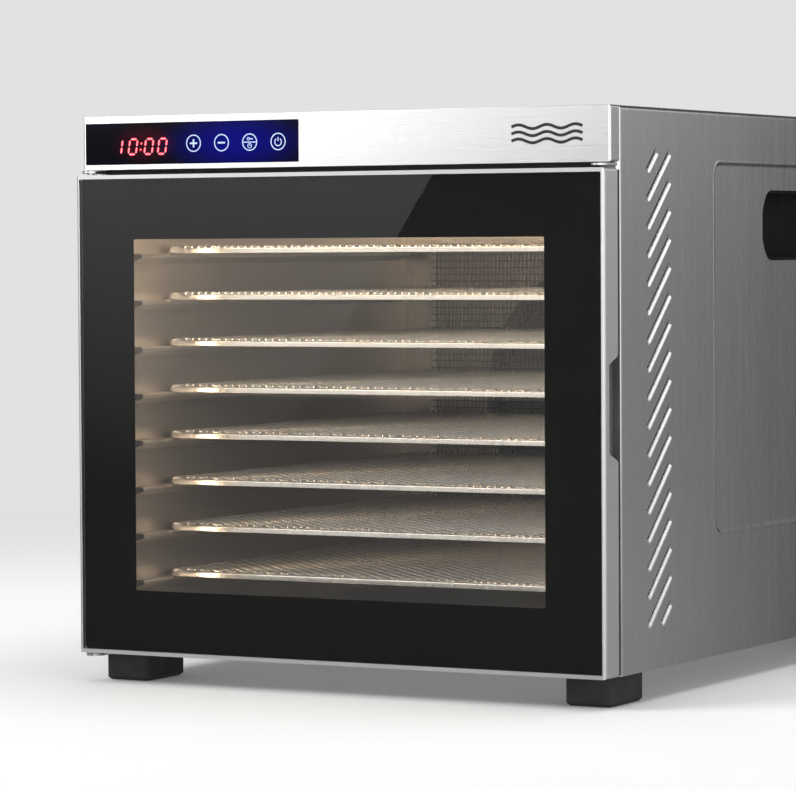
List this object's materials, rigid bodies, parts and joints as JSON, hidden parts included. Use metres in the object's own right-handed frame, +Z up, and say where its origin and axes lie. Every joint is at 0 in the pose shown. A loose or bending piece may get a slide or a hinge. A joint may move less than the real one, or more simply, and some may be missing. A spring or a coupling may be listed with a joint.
{
  "type": "food dehydrator",
  "caption": "Countertop food dehydrator: stainless steel case, smoked glass door hinged on the left, sliding mesh trays, rear fan and heater, touch control panel.",
  "frame": {"origin": "on the floor, under the centre of the object's box", "axes": "+X to the right seen from the front, -Y towards the front, +Z up"},
  "size_m": [0.345, 0.45, 0.333],
  "materials": {
    "stainless_steel": "brushed",
    "liner_steel": "satin",
    "display_lens": "gloss",
    "led_module": "lit digits",
    "contact_pads": "matte",
    "circuit_board": "satin",
    "bright_wire": "polished",
    "heater_tube": "oxidised",
    "motor_iron": "laminated",
    "zinc_plate": "zinc plated",
    "black_plastic": "fine grain",
    "cable_sheath": "satin",
    "tempered_glass": "gloss",
    "silicone_seal": "matte",
    "magnet_core": "matte",
    "fan_aluminium": "satin",
    "black_rubber": "matte",
    "tray_steel": "polished",
    "tray_wire": "polished"
  },
  "bodies": {
    "cabinet": {"outer_cover": "stainless_steel", "base_pan": "stainless_steel", "rear_cover": "stainless_steel", "rear_vent_hood": "stainless_steel", "control_fascia": "stainless_steel", "display_glass": "display_lens", "led_display": "led_module", "touch_pads": "contact_pads", "control_board": "circuit_board", "power_board": "circuit_board", "front_frame": "stainless_steel", "chamber_left_wall": "liner_steel", "chamber_right_wall": "liner_steel", "chamber_ceiling": "liner_steel", "chamber_floor": "liner_steel", "chamber_back": "liner_steel", "fan_guard": "bright_wire", "heating_element": "heater_tube", "fan_motor": "motor_iron", "motor_mount": "zinc_plate", "temperature_probe": "bright_wire", "thermal_cutout": "black_plastic", "mains_inlet": "black_plastic", "wiring_harness": "cable_sheath", "handle_cup_left": "black_plastic", "handle_cup_right": "black_plastic", "foot_front_left": "black_rubber", "foot_front_right": "black_rubber", "foot_rear_left": "black_rubber", "foot_rear_right": "black_rubber", "case_screws": "zinc_plate", "magnet_catches": "zinc_plate", "hinge_pin_upper": "zinc_plate", "hinge_pin_lower": "zinc_plate", "hinge_bracket_upper": "zinc_plate", "hinge_bracket_lower": "zinc_plate", "spare_bracket_upper": "zinc_plate"},
    "door": {"door_frame": "stainless_steel", "door_glass": "tempered_glass", "glass_retainer": "black_plastic", "door_gasket": "silicone_seal", "door_magnets": "magnet_core"},
    "fan": {"fan_impeller": "fan_aluminium", "motor_shaft": "zinc_plate"},
    "tray_1": {"tray_frame_1": "tray_steel", "tray_mesh_1": "tray_wire"},
    "tray_2": {"tray_frame_2": "tray_steel", "tray_mesh_2": "tray_wire"},
    "tray_3": {"tray_frame_3": "tray_steel", "tray_mesh_3": "tray_wire"},
    "tray_4": {"tray_frame_4": "tray_steel", "tray_mesh_4": "tray_wire"},
    "tray_5": {"tray_frame_5": "tray_steel", "tray_mesh_5": "tray_wire"},
    "tray_6": {"tray_frame_6": "tray_steel", "tray_mesh_6": "tray_wire"},
    "tray_7": {"tray_frame_7": "tray_steel", "tray_mesh_7": "tray_wire"},
    "tray_8": {"tray_frame_8": "tray_steel", "tray_mesh_8": "tray_wire"}
  },
  "joints": [
    {"name": "door_hinge", "type": "hinge", "parent": "cabinet", "child": "door", "pos_m": [-0.1665, -0.218, 0.158], "axis": [0, 0, -1], "range_deg": [0, 135]},
    {"name": "fan_spin", "type": "hinge", "parent": "cabinet", "child": "fan", "pos_m": [0, 0.155, 0.158], "axis": [0, 1, 0], "continuous": true},
    {"name": "tray_1_slide", "type": "slide", "parent": "cabinet", "child": "tray_1", "axis": [0, -1, 0], "range_m": [0, 0.038]},
    {"name": "tray_2_slide", "type": "slide", "parent": "cabinet", "child": "tray_2", "axis": [0, -1, 0], "range_m": [0, 0.038]},
    {"name": "tray_3_slide", "type": "slide", "parent": "cabinet", "child": "tray_3", "axis": [0, -1, 0], "range_m": [0, 0.038]},
    {"name": "tray_4_slide", "type": "slide", "parent": "cabinet", "child": "tray_4", "axis": [0, -1, 0], "range_m": [0, 0.038]},
    {"name": "tray_5_slide", "type": "slide", "parent": "cabinet", "child": "tray_5", "axis": [0, -1, 0], "range_m": [0, 0.038]},
    {"name": "tray_6_slide", "type": "slide", "parent": "cabinet", "child": "tray_6", "axis": [0, -1, 0], "range_m": [0, 0.038]},
    {"name": "tray_7_slide", "type": "slide", "parent": "cabinet", "child": "tray_7", "axis": [0, -1, 0], "range_m": [0, 0.038]},
    {"name": "tray_8_slide", "type": "slide", "parent": "cabinet", "child": "tray_8", "axis": [0, -1, 0], "range_m": [0, 0.038]}
  ]
}
